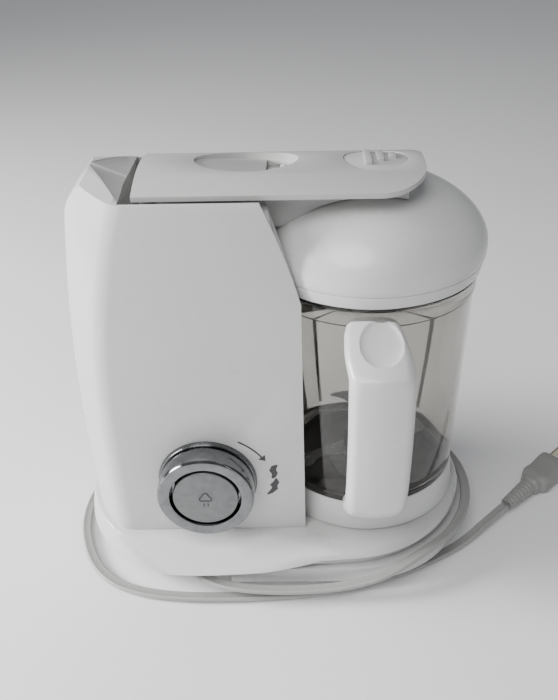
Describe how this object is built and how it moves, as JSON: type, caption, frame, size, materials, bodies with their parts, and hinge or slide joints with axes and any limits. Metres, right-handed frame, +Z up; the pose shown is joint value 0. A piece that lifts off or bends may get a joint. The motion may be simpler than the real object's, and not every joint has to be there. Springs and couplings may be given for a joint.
{
  "type": "baby food maker",
  "caption": "Counter-top steamer and blender for baby food: round tower with a control knob, clear jug with a side handle, domed lid on a swinging arm, and a mains lead wound on the base",
  "frame": {"origin": "On the floor under the middle of the machine's footprint, cord and plug left out", "axes": "+Z up, +X from the tower towards the jug, the control knob and the jug's handle face -Y"},
  "size_m": [0.3522, 0.1851, 0.2525],
  "materials": {
    "white_body": "satin moulded plastic",
    "white_lid": "glossy moulded plastic",
    "grey_inner": "matte moulded plastic",
    "clear": "clear, slightly grey moulded plastic",
    "chrome": "bright plated",
    "silver": "satin silver",
    "steel": "brushed",
    "aluminium": "cast",
    "dark": "black moulded plastic",
    "rubber": "matte black",
    "silicone": "translucent white silicone",
    "board": "solder-masked laminate",
    "lead": "light grey vinyl",
    "brass": "bright"
  },
  "bodies": {
    "base": {"base_housing": "white_body", "base_plate": "white_body", "rubber_feet": "rubber", "base_screws": "steel", "front_panel": "white_body", "tower_shell": "white_body", "rear_cover": "white_body", "top_tray": "grey_inner", "jug_seat": "white_body", "knob_shroud": "silver", "selector_switch": "dark", "button_switch": "dark", "control_board": "board", "drive_bearing": "brass", "drive_belt": "rubber", "motor": "steel", "motor_bracket": "aluminium", "boiler_cup": "steel", "boiler_collar": "silicone", "heater": "aluminium", "thermostat": "dark", "thermal_fuse": "steel", "terminal_block": "dark", "cord_gland": "dark", "cord": "lead", "plug_body": "lead", "plug_blades": "brass"},
    "arm": {"arm_cover": "white_body", "arm_keel": "grey_inner", "hinge_pin": "steel", "steam_duct": "grey_inner", "steam_gasket": "silicone", "latch_spring": "steel", "release_spring": "steel", "lid_dome": "white_lid", "lid_inner": "white_lid", "lid_seal": "silicone"},
    "latch": {"latch_slider": "white_lid"},
    "release": {"lid_release": "white_body"},
    "selector": {"knob": "chrome", "knob_shaft": "dark", "button_spring": "steel"},
    "push": {"knob_button": "silver"},
    "jug": {"jug": "clear", "jug_ring": "white_lid", "jug_handle": "white_lid", "blade_bearing": "dark"},
    "cutter": {"blades": "steel", "blade_carrier": "dark", "blade_shaft": "steel", "blade_coupling": "dark", "drive_coupling": "dark", "drive_shaft": "steel", "driven_pulley": "dark"},
    "rotor": {"motor_shaft": "steel", "motor_pulley": "aluminium"}
  },
  "joints": [
    {"name": "arm_hinge", "type": "hinge", "parent": "base", "child": "arm", "pos_m": [-0.055, 0.004, 0.237], "axis": [0, -1, 0], "range_deg": [0, 70]},
    {"name": "latch_slide", "type": "slide", "parent": "arm", "child": "latch", "axis": [1, 0, 0], "range_m": [0, 0.004], "stiffness_N_per_m": 150, "deforming": ["latch_spring"]},
    {"name": "release_press", "type": "slide", "parent": "arm", "child": "release", "axis": [0, 0, -1], "range_m": [0, 0.0025], "stiffness_N_per_m": 400, "deforming": ["release_spring"]},
    {"name": "knob_turn", "type": "hinge", "parent": "base", "child": "selector", "pos_m": [-0.038, -0.06, 0.075], "axis": [0, 1, 0], "range_deg": [0, 30], "stiffness_Nm_per_rad": 0.05},
    {"name": "button_press", "type": "slide", "parent": "selector", "child": "push", "axis": [0, 1, 0], "range_m": [0, 0.0025], "stiffness_N_per_m": 400, "deforming": ["button_spring"]},
    {"name": "jug_twist", "type": "hinge", "parent": "base", "child": "jug", "pos_m": [0.057, 0.004, 0.04], "axis": [0, 0, 1], "range_deg": [0, 25]},
    {"name": "motor_spin", "type": "hinge", "parent": "base", "child": "rotor", "pos_m": [-0.045, 0.004, 0.04], "axis": [0, 0, 1], "continuous": true},
    {"name": "cutter_spin", "type": "hinge", "parent": "base", "child": "cutter", "pos_m": [0.057, 0.004, 0.04], "axis": [0, 0, 1], "continuous": true}
  ],
  "couplings": [
    {"joint": "motor_spin", "follows": "cutter_spin", "ratio": 2.444}
  ]
}
